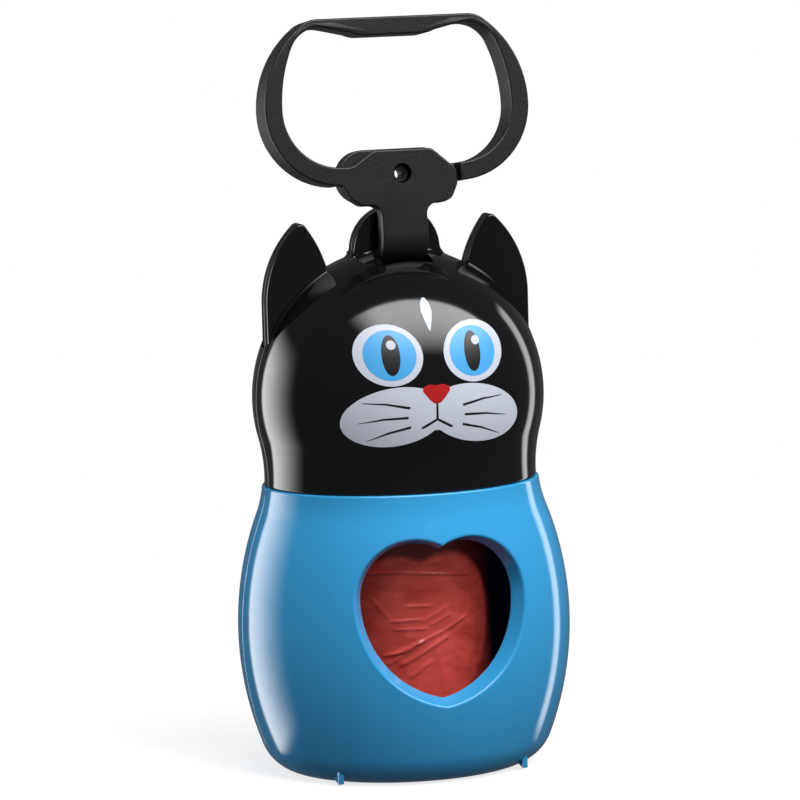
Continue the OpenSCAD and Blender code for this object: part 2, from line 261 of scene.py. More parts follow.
# soft black polypropylene of the strap, with a fine grain
strapPlastic = plastic("black satin polypropylene", "#161415", 0.38, 0.06, 4.5, ior=1.49, grain=0.03)
# pad-printed ink, one material to a colour
whiteInk = plastic("pale grey printing ink", "#B2B7C2", 0.35, 0.004, 2)
blueInk = plastic("light blue printing ink", "#4094CC", 0.32, 0.004, 2)
redInk = plastic("red printing ink", "#9E1616", 0.32, 0.004, 2)
blackInk = plastic("black printing ink", "#0D0D0F", 0.3, 0.004, 2)
print("materials made")


# ---- body of the case

body = {
    "sideArc": (-25.76, 24.6, 54.46), "cornerArc": (17.98, 7.5, 7.5), "waistArc": (41.3, 50.7, 17.5),
    "cornerTurn": -21.35, "sideTurn": 21.27, "seam": 49.3, "wall": 2.0, "rim": 0.4, "mouthRim": 0.2,
    "spigot": 5.4, "spigotBore": 3.8, "spigotTop": 11.0, "depth": 0.85, "steps": 144, "parting": 0.13,
    "clear": 8.0,
}


def rounded(corner, before, after, size, steps=4):
    # points that cut a corner with a round of about the given size
    a = Vector(before) - Vector(corner)
    b = Vector(after) - Vector(corner)
    p, q = Vector(corner) + a.normalized() * size, Vector(corner) + b.normalized() * size
    c = Vector(corner)
    made = []
    for i in range(steps + 1):
        t = i / steps
        made.append(tuple(p * (1 - t) ** 2 + c * 2 * t * (1 - t) + q * t * t))
    return made


def bodyProfile():
    cx, cz, cr = body["cornerArc"]
    sx, sz, sr = body["sideArc"]
    wx, wz, wr = body["waistArc"]
    w, seam = body["wall"], body["seam"]
    outEnd = 180 + math.degrees(math.asin((wz - seam) / wr))
    inEnd = 180 + math.degrees(math.asin((wz - seam) / (wr + w)))
    outer = arc(wx, wz, wr, 180 + body["sideTurn"], outEnd, 14)
    inner = arc(wx, wz, wr + w, inEnd, 180 + body["sideTurn"], 14)
    rim, mouth = outer[-1], inner[0]
    s = body["spigot"]
    b, top = body["spigotBore"], body["spigotTop"]
    points = [(0, 0), (9, 0)]
    points += arc(cx, cz, cr, -90, body["cornerTurn"], 14)
    points += arc(sx, sz, sr, body["cornerTurn"], body["sideTurn"], 56)
    points += outer[:-1]
    points += rounded(rim, outer[-2], mouth, body["rim"], 6)
    points += rounded(mouth, rim, inner[1], body["mouthRim"], 3)
    points += inner[1:]
    points += arc(sx, sz, sr - w, body["sideTurn"], body["cornerTurn"], 40)
    points += arc(cx, cz, cr - w, body["cornerTurn"], -90, 10)
    points += [(s, w), (s, top - 0.4), (s - 0.4, top), (b + 0.2, top), (b, top - 0.2), (b, w), (0, w)]
    return clean(points)


def spinHalf(name, profile, side, look):
    # side -1 makes the front half, 1 the rear half; the profile starts and ends on the axis
    piece = ringPiece(name, [(r, 0, z) for r, z in profile])
    last = len(profile) - 1
    pick(piece, "EDGE", lambda e: set(e.vertices) == {0, last})
    bpy.ops.mesh.delete(type="EDGE")
    bpy.ops.mesh.select_all(action="SELECT")
    bpy.ops.mesh.spin(steps=look["steps"], angle=-side * math.pi, center=(0, 0, 0), axis=(0, 0, 1))
    mergeDoubles(piece)
    pickAll(piece)
    bpy.ops.transform.resize(value=(1, look["depth"], 1), center_override=(0, 0, 0))
    pick(piece, "VERT", lambda v: abs(v.co.y) < 1e-6)
    bpy.ops.mesh.edge_face_add()
    # the parting face is divided on the axis, because one face round the whole hollow fills wrongly
    pick(piece, "FACE", lambda f: len(f.vertices) > 100)
    bpy.ops.mesh.bisect(plane_co=(0, 0, 0), plane_no=(1, 0, 0))
    outwardNormals(piece)
    return piece


def sharpEdges(piece, angle=40):
    # the pairs of vertices whose edge turns by more than the angle
    normals = {}
    for face in piece.data.polygons:
        for key in face.edge_keys:
            normals.setdefault(key, []).append(face.normal)
    return {key for key, n in normals.items() if len(n) == 2 and n[0].angle(n[1], 0) > math.radians(angle)}


def softenParting(piece, look):
    # a small round along the parting plane, clear of the axis
    sharp = sharpEdges(piece)
    pick(piece, "EDGE", lambda e: tuple(sorted(e.vertices)) in sharp
         and all(abs(p.y) < 1e-3 and abs(p.x) > look["clear"] for p in ends(piece, e)))
    bpy.ops.mesh.bevel(offset=look["parting"] * mm, segments=2, profile=0.5, affect="EDGES")
    smooth(piece)


bodyFront = spinHalf("bodyFront", bodyProfile(), -1, body)
bodyRear = spinHalf("bodyRear", bodyProfile(), 1, body)
print("body halves spun", len(bodyFront.data.vertices))


# heart window: the outline of one half lies in a plane turned to follow the curved wall
heart = {
    "lobeX": 5.4, "lobeR": 9.05, "z": 32.0, "h": 17.2, "turn": 14.5, "bevelW": 1.0, "bevelD": 3.0,
    "outerRound": 0.5, "innerRound": 0.12, "edge": 0.35, "edgeRound": 0.25, "back": 1.1,
    "lobeSteps": 46, "sideSteps": 44, "overlap": 0.15, "under": 0.012,
}
heart["half"] = heart["lobeX"] + heart["lobeR"]
heart["sideR"] = (heart["half"] ** 2 + heart["h"] ** 2) / (2 * heart["half"])
heart["sideX"] = heart["sideR"] - heart["half"]


def onBelly(u, z, depth):
    # a point of the turned plane laid on the belly and then sunk straight in
    sx, sz, sr = body["sideArc"]
    k, front = body["depth"], body["depth"] * (sx + sr)
    c, s = math.cos(math.radians(heart["turn"])), math.sin(math.radians(heart["turn"]))
    radius = sx + math.sqrt(sr ** 2 - (z - sz) ** 2)
    qa = s * s + c * c / k / k
    qb = 2 * (-u * c * s + (u * s - front) * c / k / k)
    qc = u * u * c * c + (u * s - front) ** 2 / k / k - radius ** 2
    v = (-qb - math.sqrt(qb * qb - 4 * qa * qc)) / 2 / qa + depth
    return (u * c - v * s, u * s + v * c - front, z)


def heartHalf(grow, depth):
    # from the notch over the lobe and down the long side to the lower point
    lobe = (heart["lobeX"], heart["z"], heart["lobeR"] + grow)
    side = (-heart["sideX"], heart["z"], heart["sideR"] + grow)

    def at(circle, turn):
        t = math.radians(turn)
        return onBelly(circle[0] + circle[2] * math.cos(t), circle[1] + circle[2] * math.sin(t), depth)

    def crossing(circle, inside, outside):
        for _ in range(40):
            half = (inside + outside) / 2
            if at(circle, half)[0] > 0:
                inside = half
            else:
                outside = half
        return inside

    notch = crossing(lobe, 60, 175)
    tip = crossing(side, 0, -85)
    n, m = heart["lobeSteps"], heart["sideSteps"]
    points = [at(lobe, notch + (0 - notch) * i / n) for i in range(n)]
    points += [at(side, tip * i / m) for i in range(m + 1)]
    points[0] = (0, points[0][1], points[0][2])
    points[-1] = (0, points[-1][1], points[-1][2])
    return points


def heartRing(grow, depth):
    right = heartHalf(grow, depth)
    left = [(-x, y, z) for x, y, z in reversed(right[1:-1])]
    return right + left


def windowPath():
    # the bevel's section as (growth, depth): rounded outer edge, slope, inner edge, back of the collar
    w, d, back = heart["bevelW"], heart["bevelD"], heart["bevelD"] + heart["edge"]
    start = (w + heart["outerRound"], 0)
    path = rounded((w, 0), start, (0, d), heart["outerRound"], 5)
    slope = [(w * (1 - t), d * t) for t in (0.3, 0.5, 0.7, 0.88)]
    path += slope
    path += rounded((0, d), (w, 0), (0, back), heart["innerRound"], 2)
    path += rounded((0, back), (0, d), (heart["back"], back), heart["edgeRound"], 3)
    path += [(heart["back"], back), (w + 1.2, body["wall"] - 0.1)]
    path[0] = (path[0][0], heart["under"])
    return path


def loft(name, rings):
    # a grid whose rows are placed on rings, closed into a tube
    count = len(rings[0])
    bpy.ops.object.select_all(action="DESELECT")
    bpy.ops.mesh.primitive_grid_add(x_subdivisions=count, y_subdivisions=len(rings) - 1, size=1)
    piece = bpy.context.object
    piece.name = name
    for row, ring in enumerate(rings):
        for column in range(count + 1):
            vertex = piece.data.vertices[row * (count + 1) + column]
            vertex.co = Vector(ring[column % count]) * mm
    mergeDoubles(piece, 0.0002)
    return piece


windowEdge = loft("windowEdge", [heartRing(grow, depth) for grow, depth in windowPath()])
hole = heartRing(heart["bevelW"] + heart["outerRound"] - heart["overlap"], 0)
holeTool = slab("holeTool", [(x, z) for x, y, z in hole], -40, 30)
boolean(bodyFront, holeTool, "DIFFERENCE")
softenParting(bodyFront, body)
softenParting(bodyRear, body)
smooth(windowEdge, 35)

# two small ribs under the front corners of the base
rib = {"x": 16.3, "w": 1.0, "tip": -14.2, "len": 3.0, "z": 0.35, "top": 3.5, "rise": 0.6, "round": 0.12}
ribs = []
for side in (-1, 1):
    made = block("rib", (side * rib["x"] - rib["w"] / 2, rib["tip"], rib["z"]),
                 (side * rib["x"] + rib["w"] / 2, rib["tip"] + rib["len"], rib["top"]))
    for vertex in made.data.vertices:
        if vertex.co.z < 1 * mm and vertex.co.y > (rib["tip"] + 1) * mm:
            vertex.co.z += rib["rise"] * mm
    pickAll(made)
    bpy.ops.mesh.bevel(offset=rib["round"] * mm, segments=2, affect="EDGES")
    smooth(made)
    ribs.append(made)
bodyFront = join([bodyFront, windowEdge] + ribs, "bodyFront")
for piece, node in ((bodyFront, "body_front_shell"), (bodyRear, "body_rear_shell")):
    dress(piece, bluePlastic)
    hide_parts(node)
    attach(piece, "base")
print("body done")


# ---- head of the case

head = {
    "dome": (0, 63.8, 25.1), "neckArc": (49.62, 50.7, 26.22), "neckTurn": 165.21, "foot": 49.4,
    "wall": 2.0, "collar": 21.5, "collarWall": 1.6, "collarFoot": 44.3, "ledge": 51.8, "rim": 0.3,
    "depth": 0.85, "steps": 144, "parting": 0.13, "finHalf": 1.9, "finRound": 0.38, "finParting": 0.16,
    "finRoot": 24.0, "clear": 12.5,
}


def headProfile():
    dx, dz, dr = head["dome"]
    nx, nz, nr = head["neckArc"]
    w = head["wall"]
    turn = head["neckTurn"]
    foot = 180 + math.degrees(math.asin((nz - head["foot"]) / nr))
    ledgeTurn = 180 - math.degrees(math.asin((head["ledge"] - nz) / (nr + w)))
    outer = arc(nx, nz, nr, turn, foot, 20)
    rim = outer[-1]
    c, low = head["collar"], head["collarFoot"]
    points = arc(dx, dz, dr, 90, turn - 180, 64)
    points += outer[:-1]
    points += rounded(rim, outer[-2], (c, head["foot"]), head["rim"], 5)
    points += [(c, head["foot"]), (c, low + 0.5)]
    points += rounded((c, low), (c, low + 1), (c - 1, low), 0.5, 3)
    points += [(c - head["collarWall"], low), (c - head["collarWall"], head["ledge"])]
    points += arc(nx, nz, nr + w, ledgeTurn, turn, 14)
    points += arc(dx, dz, dr - w, turn - 180, 90, 40)
    return clean(points)


headFront = spinHalf("headFront", headProfile(), -1, head)
headRear = spinHalf("headRear", headProfile(), 1, head)
print("dome halves spun")

ear = {"outer": (4.9, 80.2, 18.3), "inner": (33.6, 80.0, 22.0), "tip": 0.9}
lug = {"c": (0, 88.5), "r": 7.6, "fillet": 2.2}


def earOutline():
    ox, oz, outR = ear["outer"]
    ix, iz, inR = ear["inner"]
    tip = meeting((ox, oz), outR - ear["tip"], (ix, iz), inR - ear["tip"])
    outTurn = turnOf((ox, oz), tip)
    inTurn = turnOf(tip, (ix, iz)) + 180
    root = head["finRoot"]
    dz = head["dome"][1]
    right, left = ox + outR, ix - inR
    points = [(right, dz + math.sqrt(root ** 2 - right ** 2))]
    points += arc(ox, oz, outR, 0, outTurn, 22)
    points += arc(tip[0], tip[1], ear["tip"], outTurn, inTurn, 8)
    points += arc(ix, iz, inR, turnOf((ix, iz), tip), 180, 20)
    foot = arc(0, dz, root, 61.1, 14.9, 14)
    points += [p for p in foot if left < p[0] < right]
    return clean(points, 0.08)


def lugOutline():
    dz, dr = head["dome"][1], head["dome"][2]
    centre = meeting((0, dz), dr + lug["fillet"], lug["c"], lug["r"] + lug["fillet"])
    low = turnOf(centre, (0, dz)) % 360
    high = turnOf(centre, lug["c"]) % 360
    start = turnOf((0, dz), centre)
    root = head["finRoot"]
    right = [(root * math.cos(math.radians(start)), dz + root * math.sin(math.radians(start)))]
    right += arc(centre[0], centre[1], lug["fillet"], low, high, 8)
    right += arc(lug["c"][0], lug["c"][1], lug["r"], high - 180, 90, 20)
    foot = arc(0, dz, root, 180 - start, start, 12)[1:-1]
    return clean(right + mirrored(right)[1:] + foot, 0.02)


def finFillet(name, side, start, stop):
    # thin concave round where a fin meets the dome, swept about the dome's centre
    size, root, y, dz, steps = 0.3, 24.99, head["finHalf"], head["dome"][1], 30
    section = [(root + size, y), (root + size * 0.45, y + size * 0.13), (root + size * 0.13, y + size * 0.45),
               (root - 0.02, y + size), (root - 0.4, y + size * 0.8), (root - 0.4, y - 0.2), (root + size, y - 0.2)]
    rings = []
    for i in range(steps + 1):
        t = math.radians(start + (stop - start) * i / steps)
        rings.append([(r * math.cos(t), side * p, dz + r * math.sin(t)) for r, p in section])
    piece = loft(name, rings)
    outwardNormals(piece)
    smooth(piece, 50)
    return piece


def finHalf(name, outline, side):
    # the front half faces -Y, the rear half +Y; both meet at the parting plane
    h = head["finHalf"]
    if side < 0:
        return slab(name, outline, -h, h, head["finRound"], head["finParting"])
    return slab(name, outline, 0, h, head["finParting"], head["finRound"])


filletSpans = ((21.5, 60), (120, 158.5), (71.7, 80), (100, 108.3))  # in degrees about the dome's centre
halves = {-1: [headFront], 1: [headRear]}
for side in (-1, 1):
    for made in (finHalf("earRight", earOutline(), side), finHalf("earLeft", mirrored(earOutline()), side),
                 finHalf("lug", lugOutline(), side)):
        smooth(made)
        halves[side].append(made)
    for start, stop in filletSpans:
        halves[side].append(finFillet("finFillet", side, start, stop))
slot = {"low": (-4.4, -8.0, 81.3), "high": (4.4, 1.5, 89.6)}
# the two blocks beside the slot that hold the pivot bar
seat = {"x": (-7.5, 4.4), "w": 3.1, "reach": 3.2, "low": 84.3, "high": 88.3}
for side in (-1, 1):
    for piece in (halves[side][0], halves[side][3]):
        boolean(piece, block("slotTool", slot["low"], slot["high"]), "DIFFERENCE")
        smooth(piece)
    softenParting(halves[side][0], head)
    low, high = sorted((0, side * seat["reach"]))
    for x in seat["x"]:
        halves[side].append(block("pivotBlock", (x, low, seat["low"]), (x + seat["w"], high, seat["high"])))
headFront = join(halves[-1], "headFront")
headRear = join(halves[1], "headRear")
for piece, node in ((headFront, "head_front_shell"), (headRear, "head_rear_shell")):
    dress(piece, blackPlastic)
    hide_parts(node)
    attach(piece, "head")
print("head done", len(headFront.data.vertices))


# printed face of a plain cat: layers of ink a few hundredths of a millimetre thick, cut from the dome's skin
face = {
    "eye": (7.4, 72.7), "white": (5.6, 5.0), "iris": (4.3, 4.1), "pupil": (1.5, 3.3), "glint": (0.75, 0.75),
    "pad": (7.0, 62.55), "padSize": (8.6, 4.85), "padTurn": -9, "layer": 0.018, "under": 0.05,
    "skinSteps": 90, "skinRows": 60, "sweep": 96, "skinTurns": (-14.5, 60),
}


def ellipse(cx, cz, rx, rz, turn=0, steps=48):
    c, s = math.cos(math.radians(turn)), math.sin(math.radians(turn))
    made = []
    for i in range(steps):
        t = 2 * math.pi * i / steps
        x, z = rx * math.cos(t), rz * math.sin(t)
        made.append((cx + x * c - z * s, cz + x * s + z * c))
    return made


def bothSides(outline):
    return [outline, mirrored(outline)]


def padsOutline():
    # two leaning ovals that run together in the middle
    cx, cz = face["pad"]
    right = ellipse(cx, cz, face["padSize"][0], face["padSize"][1], face["padTurn"], 96)
    right = [point for point in right if point[0] > 0.15]
    first = max(range(len(right)), key=lambda i: math.dist(right[i], right[i - 1]))
    right = right[first:] + right[:first]
    return right + mirrored(right)


def stroke(points, widths):
    # a tapering line through some points
    left, right = [], []
    for i, (x, z) in enumerate(points):
        ax, az = points[max(i - 1, 0)]
        bx, bz = points[min(i + 1, len(points) - 1)]
        length = math.hypot(bx - ax, bz - az)
        nx, nz = -(bz - az) / length, (bx - ax) / length
        w = widths[i] / 2
        left.append((x + nx * w, z + nz * w))
        right.append((x - nx * w, z - nz * w))
    return left + right[::-1]


def inkLayer(name, outlines, level, material):
    # the dome's skin, lifted by a number of layers, kept only inside the outlines
    dz, dr = head["dome"][1], head["dome"][2]
    top = dr + level * face["layer"]
    low, high = face["skinTurns"]
    profile = arc(0, dz, top, low, high, face["skinRows"])
    profile += arc(0, dz, dr - face["under"], high, low, face["skinRows"])
    start = math.radians(-90 - face["sweep"] / 2)
    skin = ringPiece(name, [(r * math.cos(start), r * math.sin(start), z) for r, z in profile])
    pickAll(skin)
    bpy.ops.mesh.edge_face_add()
    bpy.ops.mesh.spin(steps=face["skinSteps"], angle=-math.radians(face["sweep"]), center=(0, 0, 0), axis=(0, 0, 1))
    bpy.ops.mesh.select_all(action="SELECT")
    bpy.ops.transform.resize(value=(1, head["depth"], 1), center_override=(0, 0, 0))
    outwardNormals(skin)
    tools = [slab("inkTool", clean(outline), -30, 22) for outline in outlines]
    boolean(skin, join(tools, "inkTool"), "INTERSECT")
    smooth(skin)
    dress(skin, material)
    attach(skin, "head")
    return skin


ex, ez = face["eye"]
nose = [(-2.3, 67.3), (-1.2, 67.75), (0, 67.6), (1.2, 67.75), (2.3, 67.3), (2.35, 66.6), (1.2, 65.2), (0.5, 64.6),
        (-0.5, 64.6), (-1.2, 65.2), (-2.35, 66.6)]
whiskers = []
for x, z, tipX, tipZ in ((4.6, 64.0, 12.2, 65.0), (4.9, 62.4, 12.9, 61.6), (4.5, 60.8, 11.6, 58.6)):
    middle = ((x + tipX) / 2, (z + tipZ) / 2 + 0.25)
    whiskers += bothSides(stroke([(x, z), middle, (tipX, tipZ)], [0.42, 0.32, 0.1]))
mouth = [stroke([(0, 64.8), (0, 63.2), (0, 61.7)], [0.36, 0.36, 0.4])]
curl = []
for turn in range(0, 100, 12):
    dip = math.sin(math.radians(turn * 0.9)) * math.cos(math.radians(turn * 0.35))
    curl.append((0.1 + 2.6 * math.sin(math.radians(turn)), 61.9 - 1.6 * dip))
mouth += bothSides(stroke(curl, [0.36, 0.38, 0.4, 0.4, 0.4, 0.38, 0.32, 0.24, 0.12]))
blaze = [stroke([(0, 81.6), (0, 80.8), (0, 79.6), (0, 78.2), (0, 76.4)], [0.5, 1.5, 1.9, 1.3, 0.2])]
inkLayer("inkGrey", [padsOutline()] + blaze + bothSides(ellipse(ex, ez, *face["white"], turn=8)), 1, whiteInk)
inkLayer("inkBlue", bothSides(ellipse(ex - 0.2, ez, *face["iris"])), 2, blueInk)
inkLayer("inkRed", [nose], 2, redInk)
inkLayer("inkBlackLines", whiskers, 2, blackInk)
inkLayer("inkBlackMouth", [mouth[0]], 2, blackInk)
inkLayer("inkBlackCurls", mouth[1:], 3, blackInk)
inkLayer("inkPupils", bothSides(ellipse(ex - 0.3, ez, *face["pupil"])), 3, blackInk)
glints = [ellipse(0.5 + x, ez + 1.7, *face["glint"], steps=24) for x in (ex, -ex)]
inkLayer("inkGlints", glints, 4, whiteInk)
print("face printed")


# ---- roll of bags

roll = {"r": 15.3, "bore": 6.5, "low": 2.3, "high": 60.3, "steps": 240, "rows": 26, "fineRows": 190,
        "fine": (13, 43), "rim": 0.8, "sink": 0.42, "foldGain": 1.3}


def rollProfile():
    r, low, high, rim = roll["r"], roll["low"], roll["high"], roll["rim"]
    points = [(roll["bore"], low), (r - rim, low)]
    points += arc(r - rim, low + rim, rim, -90, 0, 4)
    start, stop = roll["fine"]
    coarse, fine = roll["rows"], roll["fineRows"]
    for a, b, rows in ((low + rim, start, coarse), (start, stop, fine), (stop, high - rim, coarse)):
        points += [(r, a + (b - a) * i / rows) for i in range(1, rows + 1)]
    points += arc(r - rim, high - rim, rim, 0, 90, 4)[1:]
    points += [(roll["bore"], high)]
    return clean(points)


film = ringPiece("film", [(r, 0, z) for r, z in rollProfile()])
pickAll(film)
bpy.ops.mesh.spin(steps=roll["steps"], angle=2 * math.pi, center=(0, 0, 0), axis=(0, 0, 1))
mergeDoubles(film, 0.0005)
outwardNormals(film)

# folds of the film, each a line of (angle from the front in degrees, height) with its width and height in mm
folds = [
    ([(-40.4, 35.3), (-19.5, 35.5), (6.7, 34.9), (30.7, 34.2)], 0.2, 0.2),
    ([(-24.1, 21.6), (-7.9, 23.5), (9.2, 25.3), (26.0, 27.2)], 0.24, 0.17),
    ([(-30.6, 21.4), (-17.7, 22.1), (-6.6, 23.6)], 0.3, 0.2),
    ([(-27.5, 20.0), (-13.2, 22.4)], 0.26, 0.16),
    ([(-19.8, 19.8), (-4.8, 21.9), (10.5, 24.1)], 0.3, 0.2),
    ([(-13.6, 17.8), (-1.7, 20.1)], 0.3, 0.16),
    ([(-15.6, 29.7), (-0.7, 29.6)], 0.26, 0.14),
    ([(-25.4, 27.2), (-7.5, 27.4)], 0.26, 0.14),
    ([(-23.6, 25.8), (-3.1, 25.8)], 0.24, 0.12),
    ([(-6.3, 27.0), (11.0, 29.2)], 0.26, 0.14),
    ([(0.3, 26.4), (13.1, 27.9)], 0.24, 0.14),
    ([(-19.2, 37.7), (-7.9, 36.7), (6.9, 37.1)], 0.5, 0.16),
    ([(-38.2, 30.9), (-27.9, 27.9)], 0.3, 0.1),
    ([(30.1, 29.8), (37.4, 22.6)], 0.5, 0.1),
    ([(16.2, 21.7), (28.5, 18.2)], 0.5, 0.12),
    ([(5.2, 21.2), (8.8, 15.1)], 0.5, 0.1),
]


def nearLine(points, x, y):
    best = 1e9
    for (ax, ay), (bx, by) in zip(points, points[1:]):
        dx, dy = bx - ax, by - ay
        t = max(0.0, min(1.0, ((x - ax) * dx + (y - ay) * dy) / (dx * dx + dy * dy)))
        best = min(best, math.hypot(x - ax - t * dx, y - ay - t * dy))
    return best


perDegree = roll["r"] * math.pi / 180
lines = [([(a * perDegree, z) for a, z in points], width, rise) for points, width, rise in folds]
for vertex in film.data.vertices:
    r = math.hypot(vertex.co.x, vertex.co.y) / mm
    if r < roll["r"] - 0.01:
        continue
    x = math.degrees(math.atan2(vertex.co.x, -vertex.co.y)) * perDegree
    z = vertex.co.z / mm
    push = -roll["sink"]
    for points, width, rise in lines:
        away = nearLine(points, x, z)
        if away < 4 * width:
            push += roll["foldGain"] * rise * math.exp(-(away / width) ** 2)
    scale = (r + push) / r
    vertex.co.x *= scale
    vertex.co.y *= scale
smooth(film, 50)
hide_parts("bag_roll")
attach(film, "roll")


def filmMaterial():
    # polyethylene film wound in many thin layers: fine level wrinkles and a soft sheen; its colour is painted lighter
    # on the wrinkles' crests and darker in their troughs, as painted sheen and painted shade
    material, tree = newMaterial("red polyethylene bag film")
    place = addNode(tree, "ShaderNodeTexCoord")
    stretch = addNode(tree, "ShaderNodeMapping", {"Scale": (200, 200, 420)}, {"Vector": place.outputs["Object"]})
    wrinkles = addNode(tree, "ShaderNodeTexNoise", {"Scale": 1.0, "Detail": 4.0, "Roughness": 0.55, "Distortion": 0.6},
                       {"Vector": stretch.outputs["Vector"]})
    bump = addNode(tree, "ShaderNodeBump", {"Strength": 0.8, "Distance": 0.13 * mm},
                   {"Height": wrinkles.outputs["Fac"]})
    # painted sheen and painted shade: the colour follows the wrinkles' height, lighter on their crests and darker in
    # their troughs
    tint = addNode(tree, "ShaderNodeValToRGB", {}, {"Fac": wrinkles.outputs["Fac"]})
    tint.color_ramp.elements[0].position = 0.3
    tint.color_ramp.elements[0].color = linear("#9E342E")
    tint.color_ramp.elements[1].position = 0.72
    tint.color_ramp.elements[1].color = linear("#C24A42")
    shader = addNode(tree, "ShaderNodeBsdfPrincipled", {"Roughness": 0.24, "IOR": 1.51},
                     {"Base Color": tint.outputs["Color"], "Normal": bump.outputs["Normal"]})
    finishMaterial(tree, shader)
    return material


def cardMaterial():
    # grey-brown core board with faint fibres
    material, tree = newMaterial("kraft core board")
    place = addNode(tree, "ShaderNodeTexCoord")
    fibres = addNode(tree, "ShaderNodeTexNoise", {"Scale": 900.0, "Detail": 5.0}, {"Vector": place.outputs["Object"]})
    tint = addNode(tree, "ShaderNodeValToRGB", {}, {"Fac": fibres.outputs["Fac"]})
    tint.color_ramp.elements[0].color = linear("#9A7448")
    tint.color_ramp.elements[1].color = linear("#BC9464")
    shader = addNode(tree, "ShaderNodeBsdfPrincipled", {"Roughness": 0.85, "IOR": 1.45},
                     {"Base Color": tint.outputs["Color"]})
    finishMaterial(tree, shader)
    return material


dress(film, filmMaterial())
dress(nodes["roll_core"], cardMaterial())
print("roll done")


# ---- strap, from the two CAD solids joined through the left arm's hinge

strap = {
    "pivotZ": 87.3, "lean": 7.0, "split": 113.2, "round": 0.32, "clasp": 13.7, "claspClear": 2.4,
    "neckTop": 92.65, "neckShrink": 0.9, "armLow": 109.0, "armHigh": 117.0, "armX": -11.9,
}
leanCos, leanSin = math.cos(math.radians(strap["lean"])), math.sin(math.radians(strap["lean"]))
pivot = Vector((0, 0, strap["pivotZ"] * mm))


def uprightHeight(co):
    # height in the strap's own upright frame, in mm
    y, z = co.y / mm, co.z / mm - strap["pivotZ"]
    return strap["pivotZ"] + z * leanCos + y * leanSin


def copyNode(name, newName):
    made = nodes[name].copy()
    made.data = nodes[name].data.copy()
    made.name = newName
    made.parent = None
    for key in list(made.keys()):
        del made[key]
    bpy.context.scene.collection.objects.link(made)
    mergeDoubles(made, 0.0005)
    return made


whole = join([copyNode("strap", "strapLower"), copyNode("strap_tail", "strapUpper")], "strapWhole")
pick(whole, "VERT", lambda v: v.co.x < strap["armX"] * mm and abs(uprightHeight(v.co) - strap["split"]) < 0.005)
bpy.ops.mesh.remove_doubles(threshold=0.002 * mm)
activate(whole)
mesh = whole.data
pick(whole, "FACE", lambda f: f.center.x < strap["armX"] * mm
     and all(abs(uprightHeight(mesh.vertices[i].co) - strap["split"]) < 0.005 for i in f.vertices))
bpy.ops.mesh.delete(type="FACE")
pickAll(whole)
bpy.ops.mesh.bisect(plane_co=(0, 0, 0), plane_no=(1, 0, 0))
pick(whole, "EDGE", lambda e: all(abs(p.x) < 1e-4 for p in ends(whole, e)))
bpy.ops.mesh.mark_seam()  # a middle line that stays, so that no face runs round the hole or the loop
bpy.ops.mesh.select_all(action="SELECT")
bpy.ops.mesh.dissolve_limited(angle_limit=math.radians(0.6), delimit={"SEAM"})
bpy.ops.mesh.normals_make_consistent(inside=False)
activate(whole)


def fromClasp(point):
    # how far a point in mm lies from the axis of the clasp's hole
    away = point * mm - pivot
    height = away.y * leanSin + away.z * leanCos
    return math.hypot(point.x, height / mm - strap["clasp"])


def inNeck(point):
    return abs(point.x) < 4.1 and uprightHeight(point * mm) < strap["neckTop"]


for vertex in whole.data.vertices:
    if abs(vertex.co.x) > 3 * mm and inNeck(vertex.co / mm):
        vertex.co.x *= strap["neckShrink"]  # the bend lies inside the neck piece made below
sharp = sharpEdges(whole)
pick(whole, "EDGE", lambda e: tuple(sorted(e.vertices)) in sharp
     and all(fromClasp(p) > strap["claspClear"] and not inNeck(p) for p in ends(whole, e)))
bpy.ops.mesh.bevel(offset=strap["round"] * mm, segments=3, profile=0.5, affect="EDGES", clamp_overlap=False)
activate(whole)
print("strap softened", len(whole.data.vertices))
up = Vector((0, leanSin, leanCos))
for height in (strap["armLow"], strap["armHigh"]):
    pick(whole, "FACE", lambda f: any(whole.data.vertices[i].co.x < strap["armX"] * mm for i in f.vertices))
    bpy.ops.mesh.bisect(plane_co=pivot + up * (height - strap["pivotZ"]) * mm, plane_no=up)
for step in range(1, 8):
    height = strap["armLow"] + (strap["armHigh"] - strap["armLow"]) * step / 8
    pick(whole, "FACE", lambda f: f.center.x < strap["armX"] * mm
         and strap["armLow"] < uprightHeight(f.center) < strap["armHigh"])
    bpy.ops.mesh.bisect(plane_co=pivot + up * (height - strap["pivotZ"]) * mm, plane_no=up)
smooth(whole, 32)
flat = whole.modifiers.new("flat", "WEIGHTED_NORMAL")  # keeps the large faces flat beside their rounds
flat.keep_sharp = True
bpy.ops.object.modifier_apply(modifier="flat")


def takeOff(piece, name, test):
    before = set(bpy.data.objects)
    pick(piece, "FACE", test)
    bpy.ops.mesh.separate(type="SELECTED")
    activate(piece)
    made = [o for o in bpy.data.objects if o not in before][0]
    made.name = name
    return made


hinge = takeOff(whole, "strapHinge", lambda f: f.center.x < strap["armX"] * mm
                and strap["armLow"] < uprightHeight(f.center) < strap["armHigh"])


def islandOf(piece, seed):
    # the numbers of the vertices joined to the one nearest the seed point
    verts = piece.data.vertices
    first = min(range(len(verts)), key=lambda i: (verts[i].co - seed).length)
    touching = {}
    for edge in piece.data.edges:
        a, b = edge.vertices
        touching.setdefault(a, []).append(b)
        touching.setdefault(b, []).append(a)
    found, queue = {first}, [first]
    while queue:
        for other in touching.get(queue.pop(), []):
            if other not in found:
                found.add(other)
                queue.append(other)
    return found


upper = islandOf(whole, Vector((0, 0.004, 0.127)))
strapTail = takeOff(whole, "strapTail", lambda f: f.vertices[0] in upper)
strapPlate = whole
strapPlate.name = "strapPlate"

